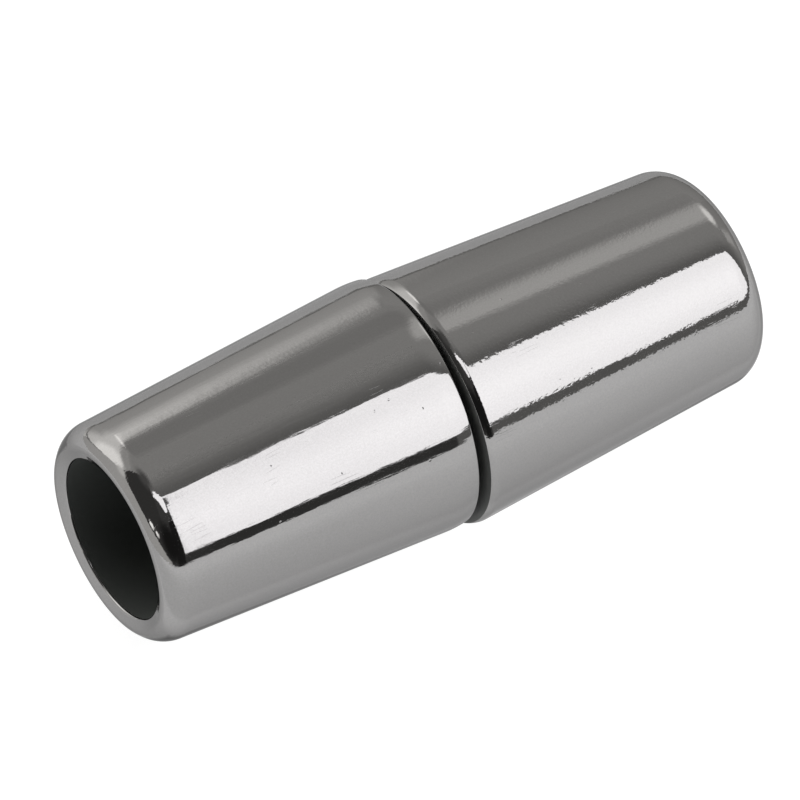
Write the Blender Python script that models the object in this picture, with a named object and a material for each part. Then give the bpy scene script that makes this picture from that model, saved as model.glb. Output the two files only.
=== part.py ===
"""Magnetic clasp for a round cord, lying closed on its side.

Two tapered turned shells meet face to face. Each has a blind bore in its nose, where a cord end
is glued in, and a disc magnet in a pocket behind its rim. The near magnet stands proud of its rim
and enters the far pocket, which keeps the halves in line.

Sizes are in metres. The clasp's axis is X, with the joint plane at X = 0, the near half towards
-X and the far half towards +X. Z is up.
"""

import math

import bmesh
import bpy
from mathutils import Matrix

# Outer form of one half, measured from the joint plane along the axis
HALF_LENGTH = 0.01070
WIDE_RADIUS = 0.00400
NOSE_RADIUS = 0.003425
RIM_ROUND = 0.00025
NOSE_ROUND = 0.00100

# Cord bore, open at the nose
BORE_RADIUS = 0.00255
BORE_FLOOR = 0.00420
BORE_EDGE_ROUND = 0.00025

# Magnets and their pockets, open at the joint
MAGNET_RADIUS = 0.00250
MAGNET_THICKNESS = 0.00250
MAGNET_EDGE = 0.00015
MAGNET_STEP = 0.00050
POCKET_RADIUS = 0.00290
POCKET_EDGE = 0.00010
GLUE_FILM = 0.00010

# How the halves meet: the gap between rims and between magnets, and the sideways seat play
MEETING_GAP = 0.00010
SEAT_PLAY = 0.00019

SIDES = 48
NOSE_ARC_STEPS = 8
EDGE_ARC_STEPS = 6
SHARP_ANGLE = math.radians(40)


def clear_scene():
    for thing in list(bpy.data.objects):
        bpy.data.objects.remove(thing, do_unlink=True)


def make_material(name, colour, roughness):
    """A metal surface."""
    material = bpy.data.materials.new(name)
    material.use_nodes = True
    shader = material.node_tree.nodes["Principled BSDF"]
    shader.inputs["Base Color"].default_value = (*colour, 1.0)
    shader.inputs["Metallic"].default_value = 1.0
    shader.inputs["Roughness"].default_value = roughness
    return material


def arc(centre, radius, start, end, steps):
    """Points (along, out) on an arc, from the angle start to the angle end."""
    points = []
    for step in range(steps + 1):
        angle = start + (end - start) * step / steps
        along = centre[0] + radius * math.cos(angle)
        out = centre[1] + radius * math.sin(angle)
        points.append((along, out))
    return points


def shell_outline(pocket_floor):
    """The shell's half section, from the pocket floor's centre round to the bore floor's centre."""
    rim = MEETING_GAP / 2
    slope = math.atan2(WIDE_RADIUS - NOSE_RADIUS, HALF_LENGTH)
    # The direction square to the tapered side, as an angle from the axis
    side_normal = math.pi / 2 - slope

    # Rim round, between the flat rim and the tapered side
    rim_along = rim + RIM_ROUND
    side_at_rim = WIDE_RADIUS - rim_along * math.tan(slope)
    rim_out = side_at_rim - RIM_ROUND / math.cos(slope)
    rim_arc = arc((rim_along, rim_out), RIM_ROUND, math.pi, side_normal, EDGE_ARC_STEPS)

    # Nose round, between the tapered side and the plane at HALF_LENGTH
    nose_along = HALF_LENGTH - NOSE_ROUND
    side_at_nose = WIDE_RADIUS - nose_along * math.tan(slope)
    nose_out = side_at_nose - NOSE_ROUND / math.cos(slope)

    # Bore edge round, tangent to the nose round and to the bore's wall
    edge_out = BORE_RADIUS + BORE_EDGE_ROUND
    reach = NOSE_ROUND - BORE_EDGE_ROUND
    meeting_angle = math.asin((edge_out - nose_out) / reach)
    edge_along = nose_along + reach * math.cos(meeting_angle)
    nose_arc = arc((nose_along, nose_out), NOSE_ROUND, side_normal, meeting_angle, NOSE_ARC_STEPS)
    edge_arc = arc((edge_along, edge_out), BORE_EDGE_ROUND, meeting_angle, -math.pi / 2, EDGE_ARC_STEPS)

    outline = [(pocket_floor, 0.0)]
    outline.append((pocket_floor, POCKET_RADIUS))
    outline.append((rim + POCKET_EDGE, POCKET_RADIUS))
    outline.append((rim, POCKET_RADIUS + POCKET_EDGE))
    outline += rim_arc
    outline += nose_arc
    outline += edge_arc[1:]
    outline.append((BORE_FLOOR, BORE_RADIUS))
    outline.append((BORE_FLOOR, 0.0))
    return outline


def magnet_outline(front):
    """The magnet's half section, from its front face's centre to its back face's centre."""
    back = front + MAGNET_THICKNESS
    return [
        (front, 0.0),
        (front, MAGNET_RADIUS - MAGNET_EDGE),
        (front + MAGNET_EDGE, MAGNET_RADIUS),
        (back - MAGNET_EDGE, MAGNET_RADIUS),
        (back, MAGNET_RADIUS - MAGNET_EDGE),
        (back, 0.0),
    ]


def turned_mesh(name, outline):
    """A closed solid, turned about X from an outline that starts and ends on the axis."""
    shape = bmesh.new()
    corners = [shape.verts.new((along, 0.0, out)) for along, out in outline]
    for first, second in zip(corners, corners[1:]):
        shape.edges.new((first, second))
    # Half a side's turn puts a flat side at the bottom, for the clasp to lie on
    half_side = Matrix.Rotation(math.pi / SIDES, 3, "X")
    bmesh.ops.rotate(shape, verts=shape.verts, cent=(0, 0, 0), matrix=half_side)
    bmesh.ops.spin(
        shape,
        geom=shape.verts[:] + shape.edges[:],
        cent=(0, 0, 0),
        axis=(1, 0, 0),
        angle=math.tau,
        steps=SIDES,
        use_merge=True,
    )
    bmesh.ops.remove_doubles(shape, verts=shape.verts, dist=1e-7)
    bmesh.ops.recalc_face_normals(shape, faces=shape.faces)
    mesh = bpy.data.meshes.new(name)
    shape.to_mesh(mesh)
    shape.free()
    mesh.shade_smooth()
    mesh.set_sharp_from_angle(angle=SHARP_ANGLE)
    return mesh


def make_half(name, sideways, turn):
    """The empty that carries one half, at the joint plane and on the half's own axis."""
    half = bpy.data.objects.new(name, None)
    half.location = (0.0, sideways, 0.0)
    half.rotation_euler = (0.0, 0.0, turn)
    half.empty_display_size = WIDE_RADIUS
    bpy.context.collection.objects.link(half)
    return half


def add_piece(name, outline, material, half):
    mesh = turned_mesh(name, outline)
    mesh.materials.append(material)
    piece = bpy.data.objects.new(name, mesh)
    piece.parent = half
    bpy.context.collection.objects.link(piece)


def build_clasp():
    plating = make_material("dark_plating", (0.34, 0.34, 0.335), 0.07)
    nickel = make_material("magnet_nickel", (0.62, 0.59, 0.54), 0.22)

    near_half = make_half("near_half", SEAT_PLAY / 2, math.pi)
    far_half = make_half("far_half", -SEAT_PLAY / 2, 0.0)

    # The magnets face each other MAGNET_STEP beyond the joint plane, inside the far half
    near_front = MEETING_GAP / 2 - MAGNET_STEP
    far_front = MEETING_GAP / 2 + MAGNET_STEP
    for side, half, front in (("near", near_half, near_front), ("far", far_half, far_front)):
        pocket_floor = front + MAGNET_THICKNESS + GLUE_FILM
        add_piece(side + "_shell", shell_outline(pocket_floor), plating, half)
        add_piece(side + "_magnet", magnet_outline(front), nickel, half)


clear_scene()
build_clasp()
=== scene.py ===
import math

import bmesh
import bpy
from mathutils import Matrix, Vector


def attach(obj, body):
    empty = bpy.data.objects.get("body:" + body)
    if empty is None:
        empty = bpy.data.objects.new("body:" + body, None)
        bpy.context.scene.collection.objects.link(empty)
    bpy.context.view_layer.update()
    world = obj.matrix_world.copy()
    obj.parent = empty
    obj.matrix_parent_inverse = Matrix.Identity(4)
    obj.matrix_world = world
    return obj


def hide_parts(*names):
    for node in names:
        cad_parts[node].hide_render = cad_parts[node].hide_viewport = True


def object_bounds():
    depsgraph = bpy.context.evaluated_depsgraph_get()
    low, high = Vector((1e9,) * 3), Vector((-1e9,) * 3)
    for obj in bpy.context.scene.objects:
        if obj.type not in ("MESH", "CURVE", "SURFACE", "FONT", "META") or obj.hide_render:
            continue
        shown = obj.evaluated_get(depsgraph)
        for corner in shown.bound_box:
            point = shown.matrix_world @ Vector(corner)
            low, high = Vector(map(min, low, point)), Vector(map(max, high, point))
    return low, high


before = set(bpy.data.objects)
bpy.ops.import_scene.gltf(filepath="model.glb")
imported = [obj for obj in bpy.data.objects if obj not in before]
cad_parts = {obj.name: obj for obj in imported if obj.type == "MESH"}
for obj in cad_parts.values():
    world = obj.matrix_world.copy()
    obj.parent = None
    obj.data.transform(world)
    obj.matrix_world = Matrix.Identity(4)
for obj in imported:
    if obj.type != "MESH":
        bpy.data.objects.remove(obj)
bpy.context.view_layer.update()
view = bpy.context.scene.view_settings
view.view_transform = "Standard"  # plain tones, so the pale floor comes out white
print("frame loaded")


# Shader maths. A Wire is a socket that can stand in a sum, and a NodeBench adds the nodes.

class Wire:
    def __init__(self, bench, socket):
        self.bench = bench
        self.socket = socket

    def maths(self, operation, *others):
        sockets = {place: value for place, value in enumerate((self, *others))}
        return self.bench.add("ShaderNodeMath", {"operation": operation}, sockets)

    def __add__(self, other):
        return self.maths("ADD", other)

    def __sub__(self, other):
        return self.maths("SUBTRACT", other)

    def __mul__(self, other):
        return self.maths("MULTIPLY", other)

    def __rsub__(self, other):
        return (self * -1.0) + other

    __radd__ = __add__
    __rmul__ = __mul__

    def dot(self, direction):
        sockets = {0: self, 1: direction}
        return self.bench.add("ShaderNodeVectorMath", {"operation": "DOT_PRODUCT"}, sockets, "Value")

    def step(self, low, high):
        # 0 below low, 1 above high, and a smooth rise between them
        sockets = {"Value": self, "From Min": low, "From Max": high}
        return self.bench.add("ShaderNodeMapRange", {"interpolation_type": "SMOOTHSTEP"}, sockets)


class NodeBench:
    def __init__(self, tree):
        self.tree = tree
        tree.nodes.clear()

    def add(self, kind, settings=None, sockets=None, output=0):
        node = self.tree.nodes.new(kind)
        for name, value in (settings or {}).items():
            setattr(node, name, value)
        for name, value in (sockets or {}).items():
            if isinstance(value, Wire):
                self.tree.links.new(value.socket, node.inputs[name])
            else:
                node.inputs[name].default_value = value
        return Wire(self, node.outputs[output]) if node.outputs else None


# Camera

camera = {
    "azimuth": -33.17,
    "elevation": 44.93,
    "distance": 0.25403,
    "lens": 385.1,
    "right": 0.0002954,  # where the joint centre stands in the picture, from its middle
    "down": 0.0000443,
    "jointCentre": (0.0, 0.000095, 0.0),
}


def addCamera():
    turn = math.radians(camera["azimuth"])
    lift = math.radians(camera["elevation"])
    back = Vector((math.sin(turn) * math.cos(lift), -math.cos(turn) * math.cos(lift), math.sin(lift)))
    right = Vector((math.cos(turn), math.sin(turn), 0.0))
    up = back.cross(right)
    data = bpy.data.cameras.new("camera")
    data.sensor_width = 36.0
    data.lens = camera["lens"]
    data.clip_start = 0.01
    data.clip_end = 5.0
    shooter = bpy.data.objects.new("camera", data)
    spot = Vector(camera["jointCentre"]) + back * camera["distance"]
    shooter.location = spot - right * camera["right"] + up * camera["down"]
    shooter.rotation_euler = back.to_track_quat("Z", "Y").to_euler()
    bpy.context.scene.collection.objects.link(shooter)
    bpy.context.scene.camera = shooter


addCamera()
print("camera placed")


# Studio. Directions are (azimuth, elevation): 0 is +Y, 90 is +X, and elevation is above the floor.

studio = {
    "pale": 1.0,  # what the camera sees past the floor
    "base": 0.61,  # the room's own light
    "roomTint": (1.0, 0.985, 0.955),
    "keyTint": (1.0, 0.988, 0.998),
    "lampSize": 0.5,
    "lampHeight": 0.8,
    "lampPower": 1.2,
    "domeRadius": 1.5,
    "layerGap": 0.01,
    "floorRadius": 0.11,
    "floorShade": 0.22,
    "floorGlow": 0.90,
    "frontGlow": 0.30,  # more light on the floor towards the front
    "frontRise": (0.001, 0.028),
    "backGlow": 0.17,  # and towards the back
    "backRise": (0.014, 0.022),
    "stripGlow": 0.20,  # a lighter strip just in front of the clasp
    "stripAt": 0.0037,
    "stripFade": (0.0005, 0.0013),
    "underShade": 0.34,  # the clasp's own shade on the floor below it
    "underSlant": 0.07,
    "underRise": (-0.0019, -0.0011),
    "underFall": (0.0010, 0.0035),
    "underEnds": (0.0060, 0.0090),
}

# Lit and dark cards on a dome around the clasp, each nearer than the one before. A card is round, or has
# corners that go clockwise as seen from the clasp, and it fades out over its last "soft" degrees.
cards = [
    {"name": "shadeAboveKey", "centre": (180, 3.5), "radius": 76, "soft": 26, "light": 0.29},
    {"name": "backPatchWide", "centre": (95, 52), "radius": 13, "soft": 20, "light": 0.60},
    {"name": "backPatch", "corners": [(49, 49), (55, 59), (64, 64), (74, 64), (81, 50), (76, 30), (60, 32)],
     "soft": 9, "light": 1.05},
    {"name": "backPatchCore", "centre": (73, 42), "radius": 9, "soft": 10, "light": 2.0},
    {"name": "backPatchFoot", "corners": [(88, 30), (99, 29), (92, 8), (82, 9)], "soft": 8, "light": 0.95},
    {"name": "backShade", "centre": (32, 52), "radius": 10, "soft": 8, "light": 0.5},
    {"name": "backHaze", "corners": [(300, 46), (300, 62), (330, 66), (0, 62), (14, 56), (0, 45)], "soft": 10,
     "light": 0.78},
    {"name": "backPanel", "corners": [(300, 41), (312, 50), (340, 51), (6, 48), (19.5, 40), (21.3, 29), (21.2, 14),
                                      (21, -8), (330, -8)], "soft": 7, "light": 1.6},
    {"name": "backPanelLeft", "corners": [(300, 41), (310, 49), (328, 50), (342, 42), (340, 20), (330, 8), (312, 24)],
     "soft": 14, "light": 2.3},
    {"name": "backPanelFoot", "corners": [(356, 21), (30, 21), (30, -12), (356, -12)], "soft": 20, "light": 0.92},
    {"name": "backStreak", "corners": [(9.5, 47), (14, 48), (17.5, 44), (19.2, 38), (18.8, 33), (17.4, 28.5),
                                       (14.5, 30), (11.5, 38)], "soft": 8, "light": 2.6},
    {"name": "backRight", "corners": [(26, 34), (60, 34), (60, -12), (26, -12)], "soft": 3, "light": 0.66},
    {"name": "backGap", "corners": [(8, -12), (8, -0.8), (60, -0.4), (60, -12)], "soft": 1.5, "light": 0.5},
    {"name": "keyPanel", "centre": (180, 3.5), "radius": 61.8, "soft": 0, "light": 3.0},
    {"name": "keyTop", "corners": [(141.5, 48), (139.2, 55.5), (142.4, 59.4), (148.6, 62.6), (158, 67), (165, 70),
                                   (175, 72.5), (185, 73.7), (193, 73.5), (200, 71.5), (208, 69), (211, 65),
                                   (190, 57)], "soft": 0, "light": 3.0},
    {"name": "keyCore", "centre": (152, 30), "radius": 14, "soft": 20, "light": 3.3},
    {"name": "frontGap", "corners": [(100, -12), (100, -2.2), (125, 2.2), (150, 5.8), (170, 7.2), (170, -12)],
     "soft": 0, "light": 0.085},
    {"name": "frontGapLeft", "corners": [(100, -12), (100, -2.8), (125, 1.5), (150, 5.1), (159.5, 5.5), (159.5, -12)],
     "soft": 3, "light": 0.27},
    {"name": "roomFront", "corners": [(167, -12), (166.2, 10), (165.5, 22), (164.7, 30), (163, 40), (160.5, 47),
                                      (156, 55.2), (159.5, 53.8), (163, 52.5), (170, 50.5), (178, 51), (182, 55.5),
                                      (186, 60.5), (190, 63), (196, 65.5), (203, 66.5), (212, 66), (214, -12)],
     "soft": 0, "light": 0.12},
    {"name": "roomCorner", "corners": [(160.5, 50.5), (155.4, 54.8), (153, 57.4), (156.5, 57.9), (162, 53.4)],
     "soft": 0, "light": 0.12},
    {"name": "roomTip", "corners": [(155.4, 55), (152, 58.6), (149.4, 61.6), (151, 62.6), (154.8, 60),
                                    (158, 56.4)], "soft": 0, "light": 0.12},
    {"name": "roomSide", "corners": [(211, -1), (211, 64), (216, 73), (228, 82), (260, 86), (292, 82), (300.5, 73),
                                     (299.5, 40), (270, 20), (250, 10)], "soft": 0, "light": 0.09},
    {"name": "roomTop", "centre": (262, 84), "radius": 11, "soft": 14, "light": 0.18},
    {"name": "paperSweep", "corners": [(212, 0), (225, 3), (240, 12), (250, 16), (262, 22), (270, 26.5), (281, 31.5),
                                       (288, 35.5), (294, 40.5), (299, 44), (303, 39), (310, 31), (320, 20.5),
                                       (330, 11.5), (340, 5), (347, 1.5), (350, -12), (212, -12)],
     "soft": 0, "light": 0.97},
    {"name": "sweepGlow", "centre": (300, 37), "radius": 6, "soft": 9, "light": 1.35},
    {"name": "sweepEdge", "corners": [(322, 19.8), (330, 13), (337, 8.2), (337, 6.2), (330, 10.8), (322, 18.8)],
     "soft": 1.2, "light": 0.42},
    {"name": "sweepFoot", "corners": [(336, 8), (345, 3.2), (352, 1.6), (8, -0.6), (8, -2.6), (352, 0.2), (345, 1.4),
                                      (336, 6.2)], "soft": 1.2, "light": 0.5},
    {"name": "roomBesideKey", "corners": [(168.5, -12), (168, 10), (167.3, 22), (166.5, 30), (165, 40), (172, 44),
                                          (186, 40), (196, -12)], "soft": 2.5, "light": 0.03},
    {"name": "roomShade", "centre": (203, 20), "radius": 20, "soft": 16, "light": 0.025},
    {"name": "lampLow", "centre": (236, 19), "radius": 3, "soft": 2, "light": 2.6},
    {"name": "lampHigh", "centre": (246, 22), "radius": 3.8, "soft": 2, "light": 2.8},
]


def pointing(azimuth, elevation):
    turn = math.radians(azimuth)
    lift = math.radians(elevation)
    return Vector((math.sin(turn) * math.cos(lift), math.cos(turn) * math.cos(lift), math.sin(lift)))


def cardEdge(card):
    # the card's middle and the directions round its edge
    if "centre" in card:
        middle = pointing(*card["centre"])
        spoke = Matrix.Rotation(math.radians(card["radius"]), 3, middle.orthogonal()) @ middle
        return middle, [Matrix.Rotation(math.tau * step / 72, 3, middle) @ spoke for step in range(72)]
    corners = [pointing(*corner) for corner in card["corners"]]
    edge = []
    for first, second in zip(corners, corners[1:] + corners[:1]):
        steps = max(1, round(math.degrees(first.angle(second)) / 4))
        edge += [first.slerp(second, step / steps) for step in range(steps)]
    return sum(corners, Vector()).normalized(), edge


def hang(shape, name, glowing):
    mesh = bpy.data.meshes.new(name)
    shape.to_mesh(mesh)
    shape.free()
    mesh.materials.append(glowing)
    panel = bpy.data.objects.new(name, mesh)
    panel.visible_camera = False  # so that it never stands in the way of another view
    bpy.context.scene.collection.objects.link(panel)


def addCard(card, distance, glowing):
    middle, edge = cardEdge(card)
    soft = math.radians(card["soft"])
    tint = studio["keyTint"] if card["name"].startswith("key") else studio["roomTint"]
    shape = bmesh.new()
    glow = shape.verts.layers.float_color.new("glow")
    cover = shape.verts.layers.float.new("cover")
    hub = shape.verts.new(middle * distance)
    hub[cover] = 1.0
    # each ring is a part of the way out, and then a share of the soft edge further
    spread = [(0.25, 0.0), (0.5, 0.0), (0.75, 0.0), (1.0, 0.0)]
    if soft:
        spread += [(1.0, share / 10) for share in range(1, 11)]
    rings = []
    for part, fade in spread:
        ring = []
        for direction in edge:
            reach = (middle.angle(direction) - soft / 2) * part + soft * fade
            point = shape.verts.new(Matrix.Rotation(reach, 3, middle.cross(direction)) @ middle * distance)
            point[cover] = 1.0 - fade * fade * (3 - 2 * fade)
            ring.append(point)
        rings.append(ring)
    for point in shape.verts:
        point[glow] = [share * card["light"] for share in tint] + [1.0]
    for place in range(len(edge)):
        shape.faces.new((hub, rings[0][place - 1], rings[0][place]))
        for inner, outer in zip(rings, rings[1:]):
            shape.faces.new((inner[place - 1], outer[place - 1], outer[place], inner[place]))
    hang(shape, card["name"], glowing)


# Painted shade: low grey glowing strips beside the clasp, just over the floor and darker than it, standing for the
# clasp's shadow on the floor, which only its outermost edges mirror
shadeStripHeight = 0.00005
shadeStrips = [
    # painted shadow on the floor behind the clasp, and painted contact shade on the floor below it
    {"name": "paintedShadowBehind", "low": (-0.014, 0.0078), "high": (0.024, 0.0148), "soft": 0.0016, "light": 0.66},
    {"name": "paintedShadeBelow", "low": (-0.0105, -0.0026), "high": (0.0115, -0.0006), "soft": 0.0004, "light": 0.5},
]


# a strip of painted shade: a glowing sheet darker than the floor, with soft sides
def addShadeStrip(shadeStrip, glowing):
    lowX, lowY = shadeStrip["low"]
    highX, highY = shadeStrip["high"]
    soft = shadeStrip["soft"]
    acrossX = [lowX, lowX + soft, highX - soft, highX]
    acrossY = [lowY, lowY + soft, highY - soft, highY]
    shape = bmesh.new()
    glow = shape.verts.layers.float_color.new("glow")
    cover = shape.verts.layers.float.new("cover")
    rows = []
    for y in acrossY:
        row = []
        for x in acrossX:
            point = shape.verts.new((x, y, shellLowest + shadeStripHeight))
            point[glow] = [shadeStrip["light"]] * 3 + [1.0]
            point[cover] = float(lowX < x < highX and lowY < y < highY)
            row.append(point)
        rows.append(row)
    for under, over in zip(rows, rows[1:]):
        for place in range(3):
            shape.faces.new((under[place], under[place + 1], over[place + 1], over[place]))
    hang(shape, shadeStrip["name"], glowing)


def addStudio():
    world = bpy.data.worlds.new("studio")
    world.use_nodes = True
    bench = NodeBench(world.node_tree)
    seen = bench.add("ShaderNodeLightPath", output="Is Camera Ray")
    dim = [share * studio["base"] for share in studio["roomTint"]] + [1.0]
    pale = [studio["pale"]] * 3 + [1.0]
    light = bench.add("ShaderNodeMix", {"data_type": "RGBA"}, {0: seen, 6: dim, 7: pale}, 2)
    glow = bench.add("ShaderNodeBackground", None, {"Color": light})
    bench.add("ShaderNodeOutputWorld", None, {"Surface": glow})
    bpy.context.scene.world = world

    lamp = bpy.data.lights.new("softBox", "AREA")
    lamp.shape = "DISK"
    lamp.size = studio["lampSize"]
    lamp.energy = studio["lampPower"]
    softBox = bpy.data.objects.new("softBox", lamp)
    softBox.location = (0.0, 0.0, studio["lampHeight"])
    softBox.visible_glossy = False  # the cards are what the plating mirrors
    bpy.context.scene.collection.objects.link(softBox)

    glowing = bpy.data.materials.new("cardLight")
    glowing.use_nodes = True
    bench = NodeBench(glowing.node_tree)
    light = bench.add("ShaderNodeAttribute", {"attribute_name": "glow"}, output="Color")
    cover = bench.add("ShaderNodeAttribute", {"attribute_name": "cover"}, output="Fac")
    lit = bench.add("ShaderNodeEmission", None, {"Color": light})
    clear = bench.add("ShaderNodeBsdfTransparent")
    surface = bench.add("ShaderNodeMixShader", None, {0: cover, 1: clear, 2: lit})
    bench.add("ShaderNodeOutputMaterial", None, {"Surface": surface})
    glowing.cycles.emission_sampling = "NONE"
    for layer, card in enumerate(cards):
        addCard(card, studio["domeRadius"] - studio["layerGap"] * layer, glowing)
    # and the strips of painted shade on the floor
    for shadeStrip in shadeStrips:
        addShadeStrip(shadeStrip, glowing)


def addFloor():
    tray = bmesh.new()
    bmesh.ops.create_circle(tray, cap_ends=True, segments=96, radius=studio["floorRadius"])
    bmesh.ops.translate(tray, verts=tray.verts, vec=(0.0, 0.0, shellLowest))
    mesh = bpy.data.meshes.new("floor")
    tray.to_mesh(mesh)
    tray.free()
    floor = bpy.data.objects.new("floor", mesh)
    bpy.context.scene.collection.objects.link(floor)
    paper = bpy.data.materials.new("palePaper")
    paper.use_nodes = True
    bench = NodeBench(paper.node_tree)
    shade = studio["floorShade"]
    place = bench.add("ShaderNodeTexCoord", output="Object")
    front = place.dot((0.3, -0.95, 0.0)).step(*studio["frontRise"])
    along = place.dot((1.0, 0.0, 0.0)).maths("ABSOLUTE")
    across = place.dot((0.0, 1.0, 0.0))
    inward = across - along * studio["underSlant"]
    under = inward.step(*studio["underRise"]) * (1.0 - inward.step(*studio["underFall"]))
    under = under * (1.0 - along.step(*studio["underEnds"]))
    strip = 1.0 - (across + studio["stripAt"]).maths("ABSOLUTE").step(*studio["stripFade"])
    glow = studio["floorGlow"] + front * studio["frontGlow"] - under * studio["underShade"]
    glow = glow + inward.step(*studio["backRise"]) * studio["backGlow"]
    glow = glow + strip * studio["stripGlow"]
    light = bench.add("ShaderNodeCombineColor", None, {"Red": glow, "Green": glow, "Blue": glow})
    surface = bench.add("ShaderNodeBsdfPrincipled", None, {
        "Base Color": (shade, shade, shade, 1.0),
        "Roughness": 0.9,
        "Specular IOR Level": 0.0,
        "Emission Color": light,
        "Emission Strength": 1.0,
    })
    bench.add("ShaderNodeOutputMaterial", None, {"Surface": surface})
    mesh.materials.append(paper)


# Finishes

plating = {
    "colour": (0.270, 0.267, 0.266, 1.0),
    "edgeTint": (0.50, 0.50, 0.50, 1.0),
    "roughness": 0.05,
    "boreColour": (0.052, 0.057, 0.054, 1.0),
    "boreRoughness": 0.6,
    "peelScale": 10500.0,  # the fine waviness of the plated casting, stronger on the far half
    "peelNear": 0.0000003,
    "peelNearTop": 3.0,
    "topRise": (0.0033, 0.0039),
    "peelFar": 0.0000022,
    "waveScale": 3000.0,
    "waveHeight": 0.0000011,
    "grainScale": 19000.0,
    "grainShade": 0.17,
    "patchScale": 420.0,  # where the peel is strong
    "patchRise": (0.38, 0.66),
    "patchDull": 0.02,
    "polish": (700.0, 8000.0, 8000.0),  # polishing lines along the clasp
    "polishHeight": 0.0000016,
    "cloud": (90.0, 900.0, 900.0),
    "cloudShade": 0.10,
    "pitScale": 3600.0,
    "pitShare": 0.05,
    "pitWall": (0.05, 0.18),
    "pitDepth": 0.0000025,
    "scratch": (260.0, 5200.0, 5200.0),
    "scratchTurn": (0.0, 0.35, 0.2),
    "scratchWidth": 0.012,
    "scratchHeight": 0.0000004,
    "scratchPatchScale": 700.0,
    "scratchPatchRise": (0.60, 0.70),
}
nickel = {"colour": (0.62, 0.59, 0.54, 1.0), "roughness": 0.22, "grainScale": 9000.0, "grainHeight": 0.0000008}


def makeDarkPlating():
    material = bpy.data.materials.new("darkPlating")
    material.use_nodes = True
    bench = NodeBench(material.node_tree)
    place = bench.add("ShaderNodeTexCoord", output="Object")
    inBore = bench.add("ShaderNodeAttribute", {"attribute_name": "inBore"}, output="Fac")

    def noise(vector, scale, detail, rough):
        return bench.add("ShaderNodeTexNoise", None, {
            "Vector": vector, "Scale": scale, "Detail": detail, "Roughness": rough})

    def stretched(scale, turn):
        return bench.add("ShaderNodeMapping", None, {"Vector": place, "Rotation": turn, "Scale": scale})

    farHalf = place.dot((1.0, 0.0, 0.0)).step(-0.0004, 0.0004)
    patch = noise(place, plating["patchScale"], 3.0, 0.6).step(*plating["patchRise"])
    topSide = place.dot((0.0, 0.0, 1.0)).step(*plating["topRise"])
    nearPeel = plating["peelNear"] * (1.0 + topSide * plating["peelNearTop"])
    peelHeight = nearPeel + farHalf * (plating["peelFar"] - nearPeel)
    height = noise(place, plating["peelScale"], 1.0, 0.5) * peelHeight * (0.5 + 0.7 * patch)
    height = height + noise(place, plating["waveScale"], 2.0, 0.5) * plating["waveHeight"]
    polish = noise(stretched(plating["polish"], (0.0, 0.0, 0.0)), 1.0, 2.0, 0.5)
    height = height + polish * (1.2 - 0.7 * farHalf) * plating["polishHeight"]

    # small round pits, only in some of the cells
    cells = {"Vector": place, "Scale": plating["pitScale"]}
    chosen = bench.add("ShaderNodeTexVoronoi", None, cells, "Color").dot((1.0, 0.0, 0.0))
    chosen = chosen.maths("LESS_THAN", plating["pitShare"])
    pit = 1.0 - bench.add("ShaderNodeTexVoronoi", None, cells, "Distance").step(*plating["pitWall"])
    height = height - pit * chosen * plating["pitDepth"]

    # a few hairline scratches
    streak = noise(stretched(plating["scratch"], plating["scratchTurn"]), 1.0, 1.0, 0.5)
    scratch = 1.0 - (streak - 0.5).maths("ABSOLUTE").step(0.0, plating["scratchWidth"])
    few = noise(place, plating["scratchPatchScale"], 1.0, 0.5).step(*plating["scratchPatchRise"])
    height = height - scratch * few * plating["scratchHeight"]
    # the heights are in metres, and the bump takes them in millimetres
    normal = bench.add("ShaderNodeBump", None, {"Height": height * 1000.0, "Strength": 1.0, "Distance": 0.001})

    grain = noise(place, plating["grainScale"], 1.0, 0.5) - 0.5
    cloud = noise(stretched(plating["cloud"], (0.0, 0.0, 0.0)), 1.0, 2.0, 0.5) - 0.5
    shade = 1.0 + grain * plating["grainShade"] + cloud * plating["cloudShade"]
    shaded = bench.add("ShaderNodeVectorMath", {"operation": "SCALE"}, {0: plating["colour"][:3], "Scale": shade})
    colour = bench.add("ShaderNodeMix", {"data_type": "RGBA"}, {0: inBore, 6: shaded, 7: plating["boreColour"]}, 2)
    roughness = plating["roughness"] + patch * plating["patchDull"]
    roughness = roughness + inBore * (plating["boreRoughness"] - roughness)
    surface = bench.add("ShaderNodeBsdfPrincipled", None, {
        "Base Color": colour,
        "Metallic": 1.0 - inBore,
        "Roughness": roughness,
        "Specular Tint": plating["edgeTint"],
        "Normal": normal,
    })
    bench.add("ShaderNodeOutputMaterial", None, {"Surface": surface})
    return material


def makeMagnetNickel():
    material = bpy.data.materials.new("magnetNickel")
    material.use_nodes = True
    bench = NodeBench(material.node_tree)
    place = bench.add("ShaderNodeTexCoord", output="Object")
    grain = bench.add("ShaderNodeTexNoise", None, {"Vector": place, "Scale": nickel["grainScale"], "Detail": 3.0})
    normal = bench.add("ShaderNodeBump", None, {
        "Height": grain, "Strength": 1.0, "Distance": nickel["grainHeight"]})
    surface = bench.add("ShaderNodeBsdfPrincipled", None, {
        "Base Color": nickel["colour"],
        "Metallic": 1.0,
        "Roughness": nickel["roughness"] + (grain - 0.5) * 0.1,
        "Normal": normal,
    })
    bench.add("ShaderNodeOutputMaterial", None, {"Surface": surface})
    return material


# Turning. A Geometry Nodes tree spins an outline, a chain of points in the XZ plane, about X.

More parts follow.
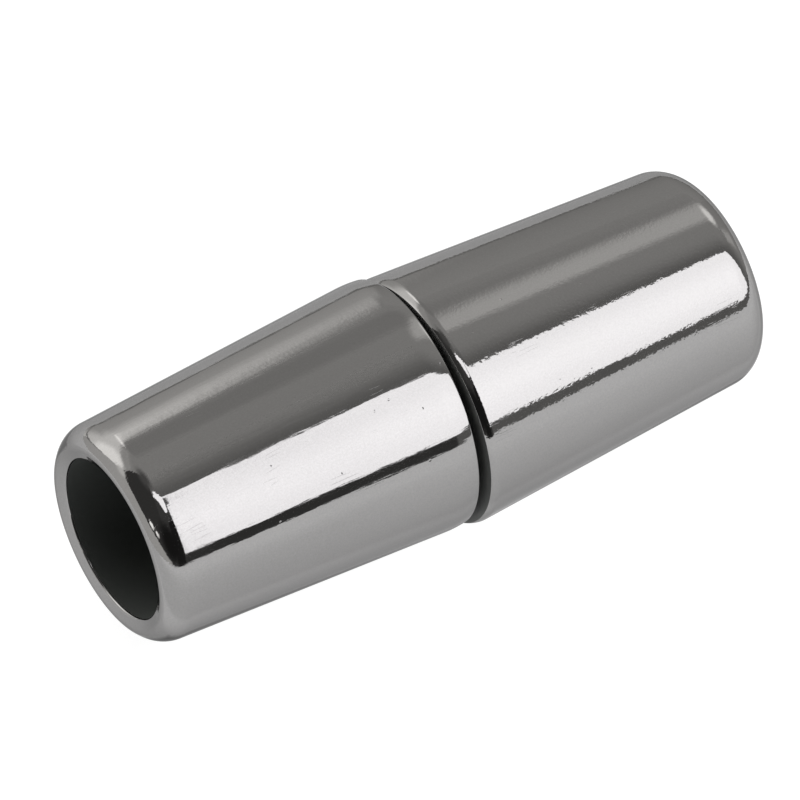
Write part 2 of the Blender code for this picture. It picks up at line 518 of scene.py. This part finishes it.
def makeLathe():
    tree = bpy.data.node_groups.new("lathe", "GeometryNodeTree")
    face = tree.interface
    face.new_socket("Outline", in_out="INPUT", socket_type="NodeSocketGeometry")
    face.new_socket("Sides", in_out="INPUT", socket_type="NodeSocketInt")
    face.new_socket("Finish", in_out="INPUT", socket_type="NodeSocketMaterial")
    face.new_socket("Solid", in_out="OUTPUT", socket_type="NodeSocketGeometry")
    bench = NodeBench(tree)
    given = tree.nodes.new("NodeGroupInput")
    outline = Wire(bench, given.outputs["Outline"])
    sides = Wire(bench, given.outputs["Sides"])
    finish = Wire(bench, given.outputs["Finish"])
    points = bench.add("GeometryNodeAttributeDomainSize", {"component": "MESH"}, {"Geometry": outline})
    columns = sides + 1
    grid = bench.add("GeometryNodeMeshGrid", None, {"Vertices X": points, "Vertices Y": columns})
    index = bench.add("GeometryNodeInputIndex")
    # A grid's points run along Y first, so a point's row is its place on the outline
    row = (index + 0.5).maths("DIVIDE", columns).maths("FLOOR")
    column = index - row * columns
    where = bench.add("GeometryNodeInputPosition")
    start = bench.add("GeometryNodeSampleIndex", {"data_type": "FLOAT_VECTOR"}, {
        "Geometry": outline, "Value": where, "Index": row})
    zone = bench.add("GeometryNodeInputNamedAttribute", {"data_type": "FLOAT"}, {"Name": "inBore"})
    zoneHere = bench.add("GeometryNodeSampleIndex", {"data_type": "FLOAT"}, {
        "Geometry": outline, "Value": zone, "Index": row})
    angle = (column * math.tau).maths("DIVIDE", sides)
    spun = bench.add("ShaderNodeVectorRotate", {"rotation_type": "X_AXIS"}, {"Vector": start, "Angle": angle})
    shape = bench.add("GeometryNodeSetPosition", None, {"Geometry": grid, "Position": spun})
    shape = bench.add("GeometryNodeStoreNamedAttribute", {"data_type": "FLOAT", "domain": "POINT"}, {
        "Geometry": shape, "Name": "inBore", "Value": zoneHere})
    shape = bench.add("GeometryNodeMergeByDistance", None, {"Geometry": shape, "Distance": 1e-7})
    shape = bench.add("GeometryNodeSetShadeSmooth", None, {"Geometry": shape})
    shape = bench.add("GeometryNodeRealizeInstances", None, {"Geometry": shape})
    shape = bench.add("GeometryNodeSetMaterial", None, {"Geometry": shape, "Material": finish})
    bench.add("NodeGroupOutput", None, {"Solid": shape})
    return tree


def turnPiece(name, outline, half, node, material, skewed=0.0):
    draft = bmesh.new()
    zone = draft.verts.layers.float.new("inBore")
    chain = []
    for along, out, inBore in outline:
        point = draft.verts.new((along, 0.0, out))
        point[zone] = inBore
        chain.append(point)
    for first, second in zip(chain, chain[1:]):
        draft.edges.new((first, second))
    mesh = bpy.data.meshes.new(name + "Outline")
    draft.to_mesh(mesh)
    draft.free()
    carrier = bpy.data.objects.new(name + "Outline", mesh)
    bpy.context.scene.collection.objects.link(carrier)
    spinner = carrier.modifiers.new("lathe", "NODES")
    spinner.node_group = lathe
    for socket in lathe.interface.items_tree:
        if socket.name == "Sides":
            spinner[socket.identifier] = clasp["sides"]
        if socket.name == "Finish":
            spinner[socket.identifier] = material
    turned = bpy.data.meshes.new_from_object(carrier.evaluated_get(bpy.context.evaluated_depsgraph_get()))
    bpy.data.objects.remove(carrier)
    turned.name = name
    turned.transform(Matrix.Translation((0.0, half["sideways"], 0.0)) @ Matrix.Rotation(half["turn"], 4, "Z"))
    shape = bmesh.new()
    shape.from_mesh(turned)
    for point in shape.verts:
        # the rims stand a little out of square
        near = max(0.0, 1.0 - abs(point.co.x) / clasp["skewReach"])
        lean = half["skew"][0] * point.co.y + half["skew"][1] * point.co.z
        point.co.x += skewed * lean / clasp["wideRadius"] * near * near * (3 - 2 * near)
    bmesh.ops.recalc_face_normals(shape, faces=shape.faces)
    shape.to_mesh(turned)
    shape.free()
    turned.set_sharp_from_angle(angle=math.radians(clasp["sharpAngle"]))
    piece = bpy.data.objects.new(name, turned)
    bpy.context.scene.collection.objects.link(piece)
    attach(piece, half["body"])
    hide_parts(node)


# The clasp's sizes are the frame's own, in metres from the joint plane along the axis

clasp = {
    "halfLength": 0.01070,
    "wideRadius": 0.00400,
    "noseRadius": 0.003425,
    "skewReach": 0.0016,  # how far from the joint the rims' lean fades out
    "noseRound": 0.00100,
    "crestRound": 0.00025,
    "dishAngle": 20.0,  # the nose falls off a little from its crest to the bore
    "boreAlong": 0.01044,
    "boreEdgeRound": 0.00009,
    "boreRadius": 0.00255,
    "boreFloor": 0.00420,
    "boreShade": 0.00002,  # the bore's darker, matte colour starts this far behind its edge
    "pocketRadius": 0.00290,
    "pocketEdge": 0.00010,
    "rimSatin": 0.75,  # how far the rim's face and the pocket go from polished to the bore's darker, matte colour
    "meetingGap": 0.00010,
    "seatPlay": 0.00019,
    "sides": 256,
    "sharpAngle": 40.0,
    "rimSteps": 14,
    "bendSteps": 24,
    "sideSteps": 60,
    "noseSteps": 24,
    "crestSteps": 16,
    "boreEdgeSteps": 6,
    "magnetEdgeSteps": 6,
}
magnet = {"radius": 0.00250, "thickness": 0.00250, "edge": 0.00015, "step": 0.00050, "glueFilm": 0.00010}


def arc(centre, radius, start, end, steps):
    points = []
    for step in range(steps + 1):
        angle = start + (end - start) * step / steps
        points.append((centre[0] + radius * math.cos(angle), centre[1] + radius * math.sin(angle)))
    return points


def between(first, second, steps):
    # inner points on a straight line, which keep the smooth shading flat along it
    points = []
    for step in range(1, steps):
        share = step / steps
        points.append((first[0] + (second[0] - first[0]) * share, first[1] + (second[1] - first[1]) * share))
    return points


def shellOutline(half, pocketFloor):
    rim = half["rimAlong"]
    edge = half["rimEdge"]
    slope = math.atan2(clasp["wideRadius"] - clasp["noseRadius"], clasp["halfLength"])
    sideNormal = math.pi / 2 - slope

    def side(along):
        bend = max(0.0, 1 - (along - rim) / half["rimBend"])
        return clasp["wideRadius"] - along * math.tan(slope) - half["rimDrop"] * bend * bend

    bendSlope = 2 * half["rimDrop"] / half["rimBend"] * (1 - edge / half["rimBend"])
    lean = math.atan(bendSlope - math.tan(slope))
    bendStart = rim + edge * (1 - math.sin(lean))
    rimCentre = (rim + edge, side(bendStart) - edge * math.cos(lean))
    rimArc = arc(rimCentre, edge, math.pi, math.pi / 2 + lean, clasp["rimSteps"])
    for step in range(1, clasp["bendSteps"] + 1):
        along = bendStart + (rim + half["rimBend"] - bendStart) * step / clasp["bendSteps"]
        rimArc.append((along, side(along)))
    noseAlong = clasp["halfLength"] - clasp["noseRound"]
    noseOut = clasp["wideRadius"] - noseAlong * math.tan(slope) - clasp["noseRound"] / math.cos(slope)
    dish = math.radians(clasp["dishAngle"])
    crest = clasp["crestRound"]
    # The crest's round leaves the nose's round where it can run on into the dish
    reach = clasp["noseRound"] - crest
    drop = (clasp["boreAlong"] - noseAlong) * math.cos(dish) - (clasp["boreRadius"] - noseOut) * math.sin(dish)
    meeting = math.acos((drop - crest) / reach) - dish
    crestCentre = (noseAlong + reach * math.cos(meeting), noseOut + reach * math.sin(meeting))
    noseArc = arc((noseAlong, noseOut), clasp["noseRound"], sideNormal, meeting, clasp["noseSteps"])
    crestArc = arc(crestCentre, crest, meeting, -dish, clasp["crestSteps"])
    boreEdge = clasp["boreEdgeRound"]
    turned = math.pi / 4 - dish / 2
    back = boreEdge * math.tan(turned)
    edgeFrom = (clasp["boreAlong"] + back * math.sin(dish), clasp["boreRadius"] + back * math.cos(dish))
    edgeCentre = (edgeFrom[0] - boreEdge * math.cos(dish), edgeFrom[1] + boreEdge * math.sin(dish))
    edgeArc = arc(edgeCentre, boreEdge, -dish, -math.pi / 2, clasp["boreEdgeSteps"])
    pocket = [(pocketFloor, 0.0), (pocketFloor, clasp["pocketRadius"])]
    pocket.append((rim + clasp["pocketEdge"], clasp["pocketRadius"]))
    pocket.append((rim, clasp["pocketRadius"] + clasp["pocketEdge"]))
    pocket.append(rimArc[0])
    outside = rimArc[1:] + between(rimArc[-1], noseArc[0], clasp["sideSteps"]) + noseArc + crestArc[1:]
    outside += between(crestArc[-1], edgeArc[0], clasp["boreEdgeSteps"]) + edgeArc
    boreDeep = edgeCentre[0] - clasp["boreShade"]
    inside = [(boreDeep, clasp["boreRadius"]), (clasp["boreFloor"], clasp["boreRadius"])]
    inside.append((clasp["boreFloor"], 0.0))
    zones = ((pocket, clasp["rimSatin"]), (outside, 0.0), (inside, 1.0))
    return [(*point, zone) for points, zone in zones for point in points]


def magnetOutline(front):
    back = front + magnet["thickness"]
    radius = magnet["radius"]
    edge = magnet["edge"]
    points = [(front, 0.0)]
    points += arc((front + edge, radius - edge), edge, math.pi, math.pi / 2, clasp["magnetEdgeSteps"])
    points += arc((back - edge, radius - edge), edge, math.pi / 2, 0.0, clasp["magnetEdgeSteps"])
    points.append((back, 0.0))
    return [(*point, 0.0) for point in points]


lathe = makeLathe()
darkPlating = makeDarkPlating()
magnetNickel = makeMagnetNickel()

# Each rim bends in softly, by "rimDrop" over "rimBend", and "skew" leans its face out of square
halves = [
    {"side": "near", "body": "near_half", "turn": math.pi, "sideways": clasp["seatPlay"] / 2,
     "rimAlong": -0.000025, "rimEdge": 0.00013, "rimBend": 0.00075, "rimDrop": 0.000075,
     "skew": (0.000085, -0.000036), "magnetFront": clasp["meetingGap"] / 2 - magnet["step"]},
    {"side": "far", "body": "far_half", "turn": 0.0, "sideways": -clasp["seatPlay"] / 2,
     "rimAlong": 0.000150, "rimEdge": 0.000018, "rimBend": 0.00031, "rimDrop": 0.000092,
     "skew": (-0.000035, -0.000079), "magnetFront": clasp["meetingGap"] / 2 + magnet["step"]},
]
for half in halves:
    side = half["side"]
    pocketFloor = half["magnetFront"] + magnet["thickness"] + magnet["glueFilm"]
    shell = shellOutline(half, pocketFloor)
    turnPiece(side + "Shell", shell, half, side + "_shell", darkPlating, skewed=1.0)
    disc = magnetOutline(half["magnetFront"])
    turnPiece(side + "Magnet", disc, half, side + "_magnet", magnetNickel)
    print(side, "half turned")

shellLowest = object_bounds()[0].z
addFloor()
addStudio()
print("studio lit")
